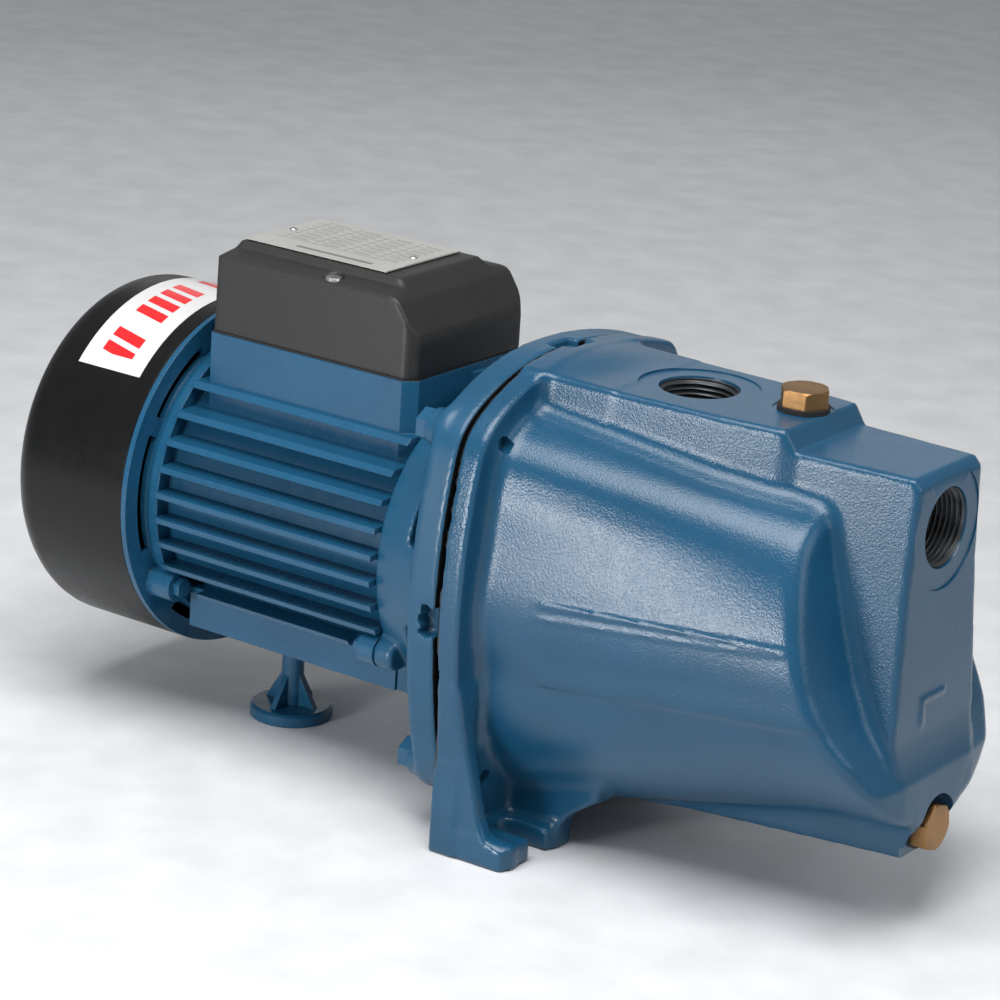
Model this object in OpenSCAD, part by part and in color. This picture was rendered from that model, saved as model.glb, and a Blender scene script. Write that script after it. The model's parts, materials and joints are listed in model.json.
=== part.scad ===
// Shallow well jet pump: cast casing with built-in ejector, bracket and finned motor.
// Millimetres, +Z up, +X along the shaft towards the suction port, feet on Z = 0.
// The origin is the centre of the motor foot's underside.

/* [Pump casing] */
// Height of the shaft axis above the feet
shaft_height = 110; // [90:1:130]
// Distance from the motor foot to the suction port's face
suction_reach = 328; // [300:1:360]
// Distance from the motor foot to the joint between casing and bracket
joint_reach = 141; // [130:1:155]
// Height of the suction port's axis
suction_height = 170.5; // [160:0.5:180]
// Distance from the motor foot to the discharge port's axis
discharge_reach = 207; // [195:1:220]
// Height of the deck around the discharge port
deck_height = 203.4; // [195:0.1:215]
// Minor radius of the G1 port thread
port_radius = 15.15; // [14:0.05:17]
// Half width of the casing flange
flange_half_width = 86; // [80:1:92]
// Thickness of the casing wall
casing_wall = 6; // [5:0.5:8]
// Width of the slots in the casing feet
foot_slot = 12; // [9:0.5:14]

/* [Motor] */
// Radius over the fin tips
fin_radius = 70; // [66:0.5:74]
// Radius of the frame wall
frame_radius = 60; // [57:0.5:62]
// Distance between two fins
fin_pitch = 11.7; // [10:0.1:13]
// Radius of the rear shield and the fan cover
cover_radius = 80.5; // [78:0.5:84]
// Half width of the terminal box
box_half_width = 42.4; // [38:0.1:46]
// Outer radius of the stator laminations
stator_radius = 55; // [52:0.5:56]
// Radius of the stator bore
stator_bore = 31; // [29:0.5:33]
// Air gap between rotor and stator
air_gap = 0.5; // [0.4:0.05:0.7]

/* [Hydraulics] */
// Radius of the impeller
impeller_radius = 58; // [50:1:62]
// Number of impeller vanes
impeller_vanes = 6; // [5:1:8]
// Radius of the jet nozzle's hole
nozzle_hole = 3.4; // [2.5:0.1:5]
// Radius of the venturi's throat
venturi_throat = 6.2; // [5:0.1:8]

/* [Hidden] */
$fn = 64;
zs = shaft_height;
xj = joint_reach;
xf = suction_reach;
xd = discharge_reach;
fz = zs - 5;
box_rear = -21;
box_front = 90;
box_floor = 171;
screw_x = 41;
screw_y = 36.4;
gland_x = 10;
gland_z = 179.4;
rail_z = zs - 60.4;
box_top = 187.2;
frame_rear = -33;
frame_front = 93;
cover_rear = -106;
bolt_y = 62;
bolt_z = 74;
prime_x = 255;
prime_y = 4;
drain_z = 43;
lug_y = 58;
lug_z = -39;
upper_y = 24;
upper_z = 56.5;

// ---------- helpers ----------
// cylinder along X from a to b
module xc(a, b, r, y = 0, z = zs) {
  translate([a, y, z]) rotate([0, 90, 0]) cylinder(h = b - a, r = r);
}
// cone along X from a to b
module xcone(a, b, ra, rb, y = 0, z = zs) {
  translate([a, y, z]) rotate([0, 90, 0]) cylinder(h = b - a, r1 = ra, r2 = rb);
}
// ring along X
module xr(a, b, ro, ri, y = 0, z = zs) {
  difference() {
    xc(a, b, ro, y, z);
    xc(a - 1, b + 1, ri, y, z);
  }
}
// hexagon prism along X, across flats f
module xhex(a, b, f, y = 0, z = zs) {
  translate([a, y, z]) rotate([0, 90, 0]) cylinder(h = b - a, r = f / sqrt(3), $fn = 6);
}
// profile in X and radius, turned about the shaft axis
module turned(pts) {
  translate([0, 0, zs]) rotate([0, 90, 0]) rotate_extrude() polygon([for (p = pts) [p[1], p[0]]]);
}
// profile in X and Z, drawn out to half width w each way
module side(pts, w) {
  translate([0, w, 0]) rotate([90, 0, 0]) linear_extrude(height = 2 * w) polygon(pts);
}
// profile in Y and Z, drawn out from a to b along X
module front(a, b) {
  translate([a, 0, 0]) rotate([90, 0, 90]) linear_extrude(height = b - a) children();
}
// the same thing on both sides
module both() {
  children();
  mirror([0, 1, 0]) children();
}

// ---------- casing ----------
// the upper corner on the far side reaches further out than the other three
module flange_outline(g = 0) {
  intersection() {
    translate([flange_half_width - 259, fz]) circle(r = 259 - g);
    translate([259 - flange_half_width, fz]) circle(r = 259 - g);
    translate([0, fz - 103 + 146]) circle(r = 146 - g);
    union() {
      intersection() {
        translate([0, fz + 103 - 146]) circle(r = 146 - g);
        translate([0, fz]) circle(r = 107.5 - g);
      }
      intersection() {
        translate([0, fz + 103 - 230]) circle(r = 230 - g);
        translate([0, fz]) circle(r = 119 - g);
        translate([0, fz]) square([120, 120]);
      }
    }
  }
}

module barrel_cones(t) {
  xcone(150, 320, 74 - t, 66 - t);
  translate([150, 0, zs - 34.1]) rotate([0, 77.8, 0]) cylinder(h = 175, r1 = 68 - t, r2 = 65 - t);
  // shoulders beside the deck
  both() translate([150, 38, zs + 48]) rotate([0, 0, -5.9]) rotate([0, 98.4, 0])
    cylinder(h = 138, r1 = 30 - t, r2 = 35 - t);
}

module barrel_end(t) {
  side([[150, -40], [150, 240], [278 - t, 240], [281 - t, 190], [288 - t, 169], [299 - t, 132],
    [307 - t, 110], [315 - t, 94], [323 - t, 82], [330 - t, 68], [332 - t, 50], [332 - t, -40]], 120);
}

module block_side(s) {
  translate([xf, s * 25.5, 195]) rotate([0, 0, -s * 5.2]) rotate([s * 4.6, 0, 0])
    translate([-230, s > 0 ? -120 : 0, -200]) cube([260, 120, 230]);
}

module front_block() {
  intersection() {
    side([[152, 130], [xj, deck_height], [266, deck_height], [271, 195.5], [xf - 4, 195.5],
      [xf, 191.5], [xf, 152], [xf + 3, 85], [xf + 6, 46], [xf + 5, 31], [205, 20.5], [185, 70]], 60);
    block_side(1);
    block_side(-1);
    front(xj, xf + 10) polygon([[-60, 210], [60, 210], [60, 88], [36, 88], [32, 76], [15.5, 57],
      [14, 25], [14, 10], [-14, 10], [-14, 25], [-15.5, 57], [-32, 76], [-36, 88], [-60, 88]]);
  }
}

module casing_foot() {
  difference() {
    union() {
      linear_extrude(height = 10) polygon([[xj, 33], [179, 35], [179, 76], [170, 79], [xj, 81.5]]);
      front(xj, 152) polygon([[30, 0], [81.5, 0], [82.5, 18], [80.5, 40], [30, 60]]);
      translate([0, 81.5, 0]) rotate([90, 0, 0]) linear_extrude(height = 8)
        polygon([[xj, 0], [178, 0], [178, 9], [169, 11], [164.5, 20], [161, 34], [156, 52], [152, 74], [xj, 74]]);
      translate([0, 43, 0]) rotate([90, 0, 0]) linear_extrude(height = 9)
        polygon([[xj, 0], [179, 0], [180.5, 11], [186, 17], [199, 26], [199, 52], [xj, 60]]);
    }
    translate([162, 55.5, -1]) cylinder(h = 12, r = foot_slot / 2);
    translate([162, 55.5 - foot_slot / 2, -1]) cube([30, foot_slot, 12]);
  }
}

module pump_body() {
  color([0.16, 0.34, 0.47])
  difference() {
    union() {
      intersection() {
        barrel_cones(0);
        barrel_end(0);
      }
      front_block();
      front(xj, 152) flange_outline();
      both() casing_foot();
      // crown that joins deck and flange
      intersection() {
        side([[152, 150], [152, deck_height + 4], [172, deck_height], [200, deck_height], [200, 150]], 40);
        front(150, 202) flange_outline(2);
      }
    }
    // pressure chamber and front pocket
    difference() {
      union() {
        intersection() {
          barrel_cones(casing_wall);
          barrel_end(casing_wall + 1);
        }
        xc(xj - 5, 152, 70.1);
        translate([280, -21, 60]) cube([xf - 6 - 280, 42, 85]);
        // room under the deck
        translate([158, -27, 150]) cube([92, 54, 46]);
      }
      // suction chamber walls
      translate([256, -27, 84]) cube([48, 54, 125]);
      // wall around the discharge port
      translate([xd, 0, 180]) cylinder(h = 30, r = 24);
    }
    translate([263, -21, 92]) cube([35, 42, 97]);
    // suction and discharge ports with chamfers and spot faces
    xc(290, xf + 5, port_radius, 0, suction_height);
    xcone(xf - 1.9, xf + 0.1, port_radius, port_radius + 2, 0, suction_height);
    xc(xf - 0.6, xf + 8, 26, 0, suction_height);
    translate([xd, 0, 165]) cylinder(h = 60, r = port_radius);
    translate([xd, 0, deck_height - 2.4]) cylinder(h = 2, r1 = port_radius, r2 = port_radius + 2);
    translate([xd, 0, deck_height - 0.5]) cylinder(h = 8, r = 26);
    // priming hole into the chamber, with its seat
    translate([prime_x, prime_y, 170]) cylinder(h = 50, r = 7.95);
    translate([prime_x, prime_y, deck_height - 0.4]) cylinder(h = 8, r = 13);
    // drain hole and pocket at the lower front corner
    xc(285, xf + 20, 7.95, 0, drain_z);
    xc(xf + 0.4, xf + 30, 14.5, 0, drain_z);
    translate([xf + 0.4, -14.5, 10]) cube([30, 29, drain_z - 10]);
    // venturi seat and nozzle seat
    xc(250, 270, 16, 0, zs);
    xc(295, 310, 9, 0, zs);
    // tapped flange holes
    for (sy = [-1, 1], sz = [-1, 1]) xc(xj - 2, 160, 3.4, sy * bolt_y, fz + sz * bolt_z);
    // under the belly, level with the feet
    translate([100, -100, -60]) cube([260, 200, 60]);
  }
}

module priming_washer() {
  color([0.05, 0.05, 0.05])
  translate([prime_x, prime_y, deck_height - 0.4]) difference() {
    cylinder(h = 2.2, r = 11);
    translate([0, 0, -1]) cylinder(h = 5, r = 8.35);
  }
}

module plug(af) {
  intersection() {
    cylinder(h = 7.4, r = af / sqrt(3), $fn = 6);
    cylinder(h = 7.4, r1 = af, r2 = af * 0.515);
    translate([0, 0, -0.5]) cylinder(h = 9, r = af / sqrt(3) - 0.2);
  }
  translate([0, 0, -9.5]) cylinder(h = 10, r = 7.9);
  translate([0, 0, -10.5]) cylinder(h = 1.01, r1 = 6.9, r2 = 7.9);
}

module priming_plug() {
  color([0.72, 0.5, 0.24])
  translate([prime_x, prime_y, deck_height + 1.8]) rotate([0, 0, 4]) plug(19);
}

module drain_washer() {
  color([0.05, 0.05, 0.05])
  xr(xf + 0.4, xf + 2.2, 11, 8.35, 0, drain_z);
}

module drain_plug() {
  color([0.72, 0.5, 0.24])
  translate([xf + 2.2, 0, drain_z]) rotate([0, 90, 0]) rotate([0, 0, 12]) plug(19);
}

// ---------- bracket ----------
module bell_window(a0, a1) {
  n = 6;
  front(112, 121.5) polygon(concat([[0, zs]], [for (i = [0 : n]) let (a = a0 + (a1 - a0) * i / n)
    [-120 * cos(a), zs + 120 * sin(a)]]));
}

module motor_bracket() {
  color([0.17, 0.36, 0.5])
  difference() {
    union() {
      // flange with its raised land
      front(125, 139.2) flange_outline(0.6);
      xr(138, xj, 79, 66);
      // back wall of the wet side, with spigot
      xc(125, 133, 76);
      xc(132, 146.5, 69.9);
      // bell to the motor
      difference() {
        union() {
          xcone(frame_front, 126, 66, 75);
          front(frame_front, 126) polygon([[-47, rail_z], [47, rail_z], [47, zs - 44], [-47, zs - 44]]);
          both() xc(frame_front, 103, 7, lug_y, zs + lug_z);
          front(frame_front, 102) polygon([[-31, zs + 50], [31, zs + 50], [31, zs + 63], [-31, zs + 63]]);
        }
        xcone(102, 126, 60, 68);
        both() {
          bell_window(13, 42);
          bell_window(-38, -16);
        }
        bell_window(68, 112);
      }
      // bearing hub
      xc(frame_front, 113, 28);
      // seal hub
      xc(121, 134, 21);
      // bolt bosses behind the flange
      for (sy = [-1, 1], sz = [-1, 1]) xc(117.5, 126, 8.5, sy * bolt_y, fz + sz * bolt_z);
      // register into the frame
      xc(90, frame_front + 1, 54.9);
    }
    // wet side recess
    turned([[136, 0], [136, 56], [139, 60], [148, 60], [148, 0]]);
    // seal seat and shaft hole
    xc(129.5, 137, 14.55);
    xc(80, 140, 10.8);
    // bearing seat with shoulder
    xc(88, 109, 20.02);
    // room for the windings
    turned([[88, 24], [88, 53], [94, 53], [98, 40], [98, 24]]);
    // casing O-ring groove
    xr(142, 145, 72, 67.6);
    for (sy = [-1, 1], sz = [-1, 1]) xc(110, 145, 4.5, sy * bolt_y, fz + sz * bolt_z);
    both() xc(90, 104, 2.6, lug_y, zs + lug_z);
    both() {
      xc(88, 106, 2.6, upper_y, zs + upper_z);
      xc(102, 107, 5, upper_y, zs + upper_z);
    }
    for (a = [45 : 90 : 315]) translate([0, 0, zs]) rotate([a, 0, 0]) xc(140, 148, 1.7, 0, 63.5);
    // drip slot under the seal
    translate([107, -7, 25]) cube([12, 14, 45]);
  }
}

module casing_oring() {
  color([0.05, 0.05, 0.05])
  xr(142.2, 144.8, 70.08, 67.7);
}

module bolt(a, b, r, af, head, y, z) {
  xhex(a - head, a, af, y, z);
  xc(a - 0.01, b, r, y, z);
}

module flange_bolts() {
  color([0.17, 0.36, 0.5])
  for (sy = [-1, 1], sz = [-1, 1])
    bolt(117.5, 150, 3.35, 13, 5.3, sy * bolt_y, fz + sz * bolt_z);
}

// ---------- motor frame ----------
module fins() {
  for (k = [-4 : 4]) {
    z = (k + 0.5) * fin_pitch;
    // each fin is a flat plate from the wall to the tip radius
    translate([-27.5, -fin_radius - 5, zs + z - 1.3]) cube([120.5, 2 * fin_radius + 10, 2.6]);
  }
}

module motor_frame() {
  color([0.15, 0.35, 0.5])
  difference() {
    union() {
      xc(frame_rear, frame_front, frame_radius);
      xr(frame_rear, -28, 67.5, 50);
      intersection() {
        fins();
        xc(-27.5, frame_front, fin_radius);
      }
      // terminal box base
      difference() {
        translate([box_rear, -box_half_width, zs + 40])
          cube([box_front - box_rear, 2 * box_half_width, box_top - zs - 40]);
        both() translate([box_front - 5.5, box_half_width, zs]) rotate([0, 0, -45])
          translate([-10, 0, 0]) cube([40, 20, 100]);
      }
      // lower rail
      front(-24, frame_front) polygon([[-47, rail_z], [47, rail_z], [47, zs - 43], [-47, zs - 43]]);
      // lugs for the end screws
      both() {
        xc(frame_rear, -22, 7, lug_y, zs + lug_z);
        xc(84, frame_front, 7, lug_y, zs + lug_z);
      }
      // earth screw pocket rim
      translate([box_front - 1, 1, 172]) cube([3, 11, 12]);
    }
    xc(frame_rear - 1, frame_front + 1, stator_radius);
    // box interior, clear of the screw bosses, and lead hole to the windings
    difference() {
      translate([box_rear + 5, -37, box_floor]) cube([box_front - box_rear - 12, 74, 30]);
      both() translate([screw_x, screw_y, 150]) cylinder(h = 60, r = 5);
    }
    translate([72, 0, 150]) cylinder(h = 40, r = 8);
    // earth pocket
    translate([box_front, 3, 172]) cube([5, 7, 10]);
    xc(box_front - 8, box_front + 5, 1.95, 6.5, 177);
    // cable hole on the far side
    translate([gland_x, box_half_width + 5, gland_z]) rotate([90, 0, 0]) cylinder(h = 12, r = 7);
    // screw holes
    both() {
      xc(frame_rear - 1, -20, 2.6, lug_y, zs + lug_z);
      xc(80, frame_front + 1, 2.6, lug_y, zs + lug_z);
      xc(frame_rear - 1, -18, 2.5, upper_y, zs + upper_z);
      xc(78, frame_front + 1, 2.5, upper_y, zs + upper_z);
      // room for the screw heads
      xc(-22, -12, 6.6, lug_y, zs + lug_z);
      xc(74, 84, 6.6, lug_y, zs + lug_z);
    }
    // foot screw and cover screw holes
    translate([0, 0, 48]) cylinder(h = 20, r = 2.1);
    both() translate([screw_x, screw_y, 174]) cylinder(h = 15, r = 2);
  }
}

module frame_screws_front() {
  color([0.45, 0.46, 0.47])
  both() {
    bolt(84, 101, 2.55, 8, 3.5, lug_y, zs + lug_z);
    xhex(102, 105.5, 8, upper_y, zs + upper_z);
    xc(80, 102.01, 2.45, upper_y, zs + upper_z);
  }
}

module frame_screws_rear() {
  color([0.45, 0.46, 0.47])
  both() {
    xhex(-22, -18.5, 8, lug_y, zs + lug_z);
    xc(-40, -21.99, 2.55, lug_y, zs + lug_z);
    bolt(-38, -20, 2.45, 8, 3.5, upper_y, zs + upper_z);
  }
}

module slot_arc(a0, a1, ri, ro) {
  n = 5;
  difference() {
    intersection() {
      circle(r = ro);
      polygon(concat([[0, 0]], [for (i = [0 : n]) let (a = a0 + (a1 - a0) * i / n)
        [-110 * cos(a), 110 * sin(a)]]));
    }
    circle(r = ri);
  }
}

module rear_shield() {
  color([0.15, 0.35, 0.5])
  difference() {
    union() {
      xc(-38, -35.3, cover_radius);
      xr(-44, -37, 78.7, 76);
      xc(-37, frame_rear, 66.8);
      // register and bearing hub
      xr(-34, -28, 54.9, 50.5);
      xc(-40, -19, 25);
      // lugs behind the frame lugs
      both() xc(-38, frame_rear, 7, lug_y, zs + lug_z);
    }
    translate([0, 0, zs]) front(-50, -33.2) {
      for (m = [0, 1]) mirror([m, 0]) {
        slot_arc(-20, 25.3, 67.3, 72.4);
        slot_arc(32.4, 64, 67.3, 72.4);
        slot_arc(-82, -50, 67.3, 72.4);
      }
    }
    // bearing seat, open to the inside
    xc(-34.2, -10, 17.52);
    xc(-60, -10, 9.4);
    // ventilation recess on the inside
    turned([[-35, 27], [-35, 49], [-28, 49], [-28, 27]]);
    both() xc(-45, -30, 2.6, lug_y, zs + lug_z);
    both() xc(-45, -20, 2.6, upper_y, zs + upper_z);
    for (a = [0, 60, -60]) translate([0, 0, zs]) rotate([a, 0, 0])
      translate([-41, 70, 0]) rotate([-90, 0, 0]) cylinder(h = 20, r = 1.9);
  }
}

module fan_cover() {
  color([0.06, 0.06, 0.06])
  difference() {
    turned([[-38.3, 79], [-38.3, cover_radius], [-94, cover_radius], [-98.6, 79.6], [-102.5, 77],
      [-105.1, 73.1], [cover_rear, 68.5], [cover_rear, 0], [cover_rear + 1.6, 0],
      [cover_rear + 1.6, 68.3], [-103.7, 72.5], [-101.4, 75.9], [-98, 78.1], [-94, 79]]);
    // air slots in the rear face
    for (k = [-7 : 7]) {
      w = sqrt(56 * 56 - (k * 7) * (k * 7)) - 2;
      for (s = [-1, 1])
        translate([cover_rear - 2, s > 0 ? 3 : -3 - (w - 3), zs + k * 7 - 1.8]) cube([8, w - 3, 3.6]);
    }
    for (a = [0, 60, -60]) translate([0, 0, zs]) rotate([a, 0, 0])
      translate([-41, 70, 0]) rotate([-90, 0, 0]) cylinder(h = 20, r = 1.9);
  }
}

module fan_cover_screws() {
  color([0.5, 0.5, 0.52])
  for (a = [0, 60, -60]) translate([0, 0, zs]) rotate([a, 0, 0]) translate([-41, 0, 0]) rotate([-90, 0, 0]) {
    translate([0, 0, cover_radius]) cylinder(h = 2, r1 = 3.6, r2 = 2.8);
    translate([0, 0, 74.5]) cylinder(h = 7, r = 1.8);
  }
}

module cover_sticker() {
  color([0.85, 0.85, 0.85])
  translate([0, 0, zs]) front(-83, -47) {
    difference() {
      intersection() {
        circle(r = cover_radius + 0.25);
        polygon([[0, 0], [-120 * cos(42), 120 * sin(42)], [-100, 120], [0, 130], [120 * cos(75), 120 * sin(75)]]);
      }
      circle(r = cover_radius);
    }
  }
}

// ---------- terminal box ----------
module cover_shape(t) {
  intersection() {
    side([[box_rear + t, box_top - 1], [box_rear + t + 1, 222], [-17 + t, 228 - t], [70 - t / 2, 228 - t],
      [box_front - t, 206 - t / 2], [box_front - t, box_top - 1]], 60);
    front(box_rear - 1, box_front + 1) polygon([[-box_half_width + t, 100], [-box_half_width + t + 0.6, 222 - t],
      [-31, 225.2 - t], [-28.6, 228 - t], [28.6, 228 - t], [31, 225.2 - t],
      [box_half_width - t - 0.6, 222 - t], [box_half_width - t, 100]]);
    linear_extrude(height = 240) polygon([[box_rear + t, -box_half_width + t],
      [box_front - 5.5 - t * 0.4, -box_half_width + t], [box_front - t, -box_half_width + 5.5 + t * 0.4],
      [box_front - t, box_half_width - 5.5 - t * 0.4], [box_front - 5.5 - t * 0.4, box_half_width - t],
      [box_rear + t, box_half_width - t]]);
  }
}

module terminal_cover() {
  color([0.1, 0.1, 0.1])
  difference() {
    union() {
      difference() {
        cover_shape(0);
        cover_shape(2.4);
        translate([-60, -60, 100]) cube([200, 120, box_top - 100 + 0.8]);
      }
      // screw posts
      intersection() {
        cover_shape(0.4);
        both() translate([screw_x, screw_y, box_top + 0.8]) cylinder(h = 40, r = 5);
      }
    }
    both() translate([screw_x, screw_y, 180]) {
      cylinder(h = 60, r = 2.2);
      translate([0, 0, 41.4]) cylinder(h = 10, r = 4.6);
    }
    for (v = [[-11.6, 1], [55.5, 1]]) translate([v[0], v[1], 215]) cylinder(h = 20, r = 1.25);
  }
}

module terminal_gasket() {
  color([0.04, 0.04, 0.04])
  difference() {
    translate([0, 0, box_top]) linear_extrude(height = 0.8) polygon([[box_rear + 0.5, -41.9], [84.5, -41.9],
      [89.5, -36.9], [89.5, 36.9], [84.5, 41.9], [box_rear + 0.5, 41.9]]);
    translate([box_rear + 5, -34.5, 180]) cube([box_front - box_rear - 12, 69, 20]);
    both() translate([screw_x, screw_y, 180]) cylinder(h = 20, r = 2.3);
  }
}

module cover_screws() {
  color([0.7, 0.7, 0.7])
  both() translate([screw_x, screw_y, 0]) {
    translate([0, 0, 221.4]) difference() {
      cylinder(h = 2.2, r1 = 4.2, r2 = 3.4);
      for (a = [0, 90]) rotate([0, 0, a + 20]) translate([-2.2, -0.4, 1]) cube([4.4, 0.8, 2]);
    }
    translate([0, 0, 176]) cylinder(h = 45.5, r = 1.95);
  }
}

module rating_plate() {
  color([0.6, 0.6, 0.58])
  difference() {
    translate([-16, -27, 228]) cube([78, 54, 0.5]);
    for (v = [[-11.6, 1], [55.5, 1]]) translate([v[0], v[1], 215]) cylinder(h = 20, r = 1.25);
  }
}

module plate_rivets() {
  color([0.75, 0.65, 0.45])
  for (v = [[-11.6, 1], [55.5, 1]]) translate([v[0], v[1], 0]) {
    translate([0, 0, 224.5]) cylinder(h = 4.01, r = 1.2);
    intersection() {
      translate([0, 0, 227.1]) sphere(r = 2.4);
      translate([-3, -3, 228.5]) cube([6, 6, 2]);
    }
  }
}

module terminal_block() {
  color([0.75, 0.73, 0.66])
  difference() {
    translate([50, -16, box_floor]) cube([18, 32, 10]);
    for (k = [-1.5 : 1 : 1.5]) translate([46, k * 8 - 2.6, box_floor + 5]) cube([26, 5.2, 7]);
    for (k = [-1.5 : 1 : 1.5]) translate([59, k * 8, box_floor + 1]) cylinder(h = 10, r = 1.5);
  }
}

module run_capacitor() {
  color([0.8, 0.8, 0.78])
  union() {
    xc(-12, 42, 14.5, -14, box_floor + 18);
    xc(42, 46, 11, -14, box_floor + 18);
    for (s = [-1, 1]) translate([46, -15 + s * 5, box_floor + 15]) cube([6, 2, 6]);
  }
}

module capacitor_clip() {
  color([0.6, 0.6, 0.62])
  difference() {
    union() {
      xc(8, 20, 15.8, -14, box_floor + 18);
      translate([8, -22, box_floor]) cube([12, 16, 6]);
    }
    xc(6, 22, 14.6, -14, box_floor + 18);
    translate([6, -24, box_floor + 24]) cube([16, 20, 20]);
    translate([14, -14, 170]) cylinder(h = 15, r = 1.8);
  }
}

module cable_gland() {
  color([0.08, 0.08, 0.08])
  translate([gland_x, box_half_width - 6.5, gland_z]) rotate([-90, 0, 0]) difference() {
    union() {
      cylinder(h = 14, r = 6.9);
      translate([0, 0, 6.6]) cylinder(h = 4, r = 9.8, $fn = 6);
      translate([0, 0, 10]) cylinder(h = 8, r = 7);
    }
    translate([0, 0, -1]) cylinder(h = 30, r = 4.2);
  }
}

module gland_nut() {
  color([0.08, 0.08, 0.08])
  translate([gland_x, box_half_width + 4.2, gland_z]) rotate([-90, 0, 0]) difference() {
    union() {
      cylinder(h = 8, r = 9.8, $fn = 6);
      cylinder(h = 12, r = 8.2);
    }
    translate([0, 0, -1]) cylinder(h = 8.6, r = 7.05);
    translate([0, 0, 5]) cylinder(h = 12, r = 4.2);
  }
}

module earth_screw() {
  color([0.75, 0.65, 0.45])
  union() {
    xc(box_front + 0.1, box_front + 1.8, 3, 6.5, 177);
    xc(box_front - 6, box_front + 0.2, 1.9, 6.5, 177);
  }
}

// ---------- motor foot ----------
module motor_foot() {
  color([0.15, 0.33, 0.46])
  difference() {
    union() {
      cylinder(h = 4.4, r = 19.3);
      translate([0, 0, 4.4]) cylinder(h = 1.2, r1 = 19.3, r2 = 17.8);
      cylinder(h = rail_z, r = 5.2);
      translate([0, 0, rail_z - 3]) cylinder(h = 3, r = 8);
      for (a = [0, 90]) rotate([0, 0, a]) side([[-15, 4], [-4, 22], [4, 22], [15, 4]], 1.4);
    }
    translate([0, 0, 14]) cylinder(h = 80, r = 2.2);
    difference() {
      translate([0, 0, -1]) cylinder(h = 3, r = 15);
      translate([0, 0, -2]) cylinder(h = 5, r = 7);
    }
  }
}

module foot_screw() {
  color([0.5, 0.5, 0.52])
  translate([0, 0, 14.2]) cylinder(h = zs - 55.4 - 14.2, r = 2.05);
}

// ---------- stator ----------
module stator_core() {
  color([0.5, 0.5, 0.52])
  difference() {
    xc(0, 62, stator_radius - 0.05);
    xc(-1, 63, stator_bore);
    for (a = [0 : 15 : 345]) translate([0, 0, zs]) rotate([a, 0, 0])
      translate([-1, 0, stator_bore + 1.6]) translate([0, -1.9, 0]) cube([64, 3.8, 12]);
  }
}

module stator_windings() {
  color([0.62, 0.33, 0.14])
  union() {
    turned([[-20, 36], [-20, 46], [-16, 50], [-4, 50], [0, 46], [0, 33.5], [-16, 33.5]]);
    turned([[62, 33.5], [62, 46], [66, 50], [76, 50], [80, 46], [80, 37], [77, 33.5]]);
    for (a = [0 : 15 : 345]) translate([0, 0, zs]) rotate([a, 0, 0])
      translate([-0.5, -1.7, stator_bore + 2]) cube([63, 3.4, 11.2]);
  }
}

// ---------- bearings ----------
module race_outer(x, w, ro, rp, rb) {
  difference() {
    xr(x, x + w, ro, rp + rb * 0.45);
    translate([x + w / 2, 0, zs]) rotate([0, 90, 0]) rotate_extrude() translate([rp, 0]) circle(r = rb + 0.32);
  }
}

module race_inner(x, w, ri, rp, rb) {
  difference() {
    xr(x, x + w, rp - rb * 0.45, ri);
    translate([x + w / 2, 0, zs]) rotate([0, 90, 0]) rotate_extrude() translate([rp, 0]) circle(r = rb + 0.32);
  }
}

module ball_set(x, w, rp, rb, n) {
  for (i = [0 : n - 1]) translate([x + w / 2, 0, zs]) rotate([i * 360 / n, 0, 0])
    translate([0, 0, rp]) sphere(r = rb);
  // cage strip between the rings
  xr(x + w / 2 - 1, x + w / 2 + 1, rp + 0.6, rp - 0.6);
}

module rear_bearing_outer() {
  color([0.75, 0.75, 0.76]) race_outer(-33.4, 11, 17.5, 12.5, 2.9);
}

module rear_bearing_inner() {
  color([0.75, 0.75, 0.76]) race_inner(-33.4, 11, 7.5, 12.5, 2.9);
}

module rear_bearing_balls() {
  color([0.8, 0.8, 0.8]) ball_set(-33.4, 11, 12.5, 2.9, 8);
}

module front_bearing_outer() {
  color([0.75, 0.75, 0.76]) race_outer(97, 12, 20, 14.25, 3.3);
}

module front_bearing_inner() {
  color([0.75, 0.75, 0.76]) race_inner(97, 12, 8.5, 14.25, 3.3);
}

module front_bearing_balls() {
  color([0.8, 0.8, 0.8]) ball_set(97, 12, 14.25, 3.3, 8);
}

module wave_washer() {
  color([0.7, 0.7, 0.72])
  xr(-34.15, -33.45, 17.3, 14.4);
}

// ---------- shaft and what turns with it ----------
module shaft() {
  color([0.72, 0.73, 0.74])
  difference() {
    union() {
      turned([[-88, 0], [-88, 5.4], [-87.4, 6], [-40, 6], [-40, 7.49], [-22.4, 7.49], [-22.4, 9.5],
        [97, 9.5], [97, 8.49], [124, 8.49], [124, 7.5], [177, 7.5], [177, 5], [190, 5], [191, 4], [191, 0]]);
    }
    // flat for the fan and keyway for the impeller
    translate([-90, -8, zs + 4.8]) cube([30, 16, 8]);
    translate([163, -2, zs + 4.6]) cube([13, 4, 8]);
    // groove for the fan clip
    xr(-60.2, -59, 8, 5.4);
  }
}

module rotor_core() {
  color([0.45, 0.45, 0.47])
  xr(0, 62, stator_bore - air_gap, 9.52);
}

module rotor_cage() {
  color([0.78, 0.78, 0.79])
  union() {
    xr(-8, -0.02, 29, 19);
    xr(62.02, 70, 29, 19);
    for (a = [0 : 45 : 315]) translate([0, 0, zs]) rotate([a, 0, 0]) {
      translate([-13, -0.9, 22]) cube([5.5, 1.8, 6]);
      translate([69.5, -0.9, 22]) cube([5.5, 1.8, 6]);
    }
  }
}

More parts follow.
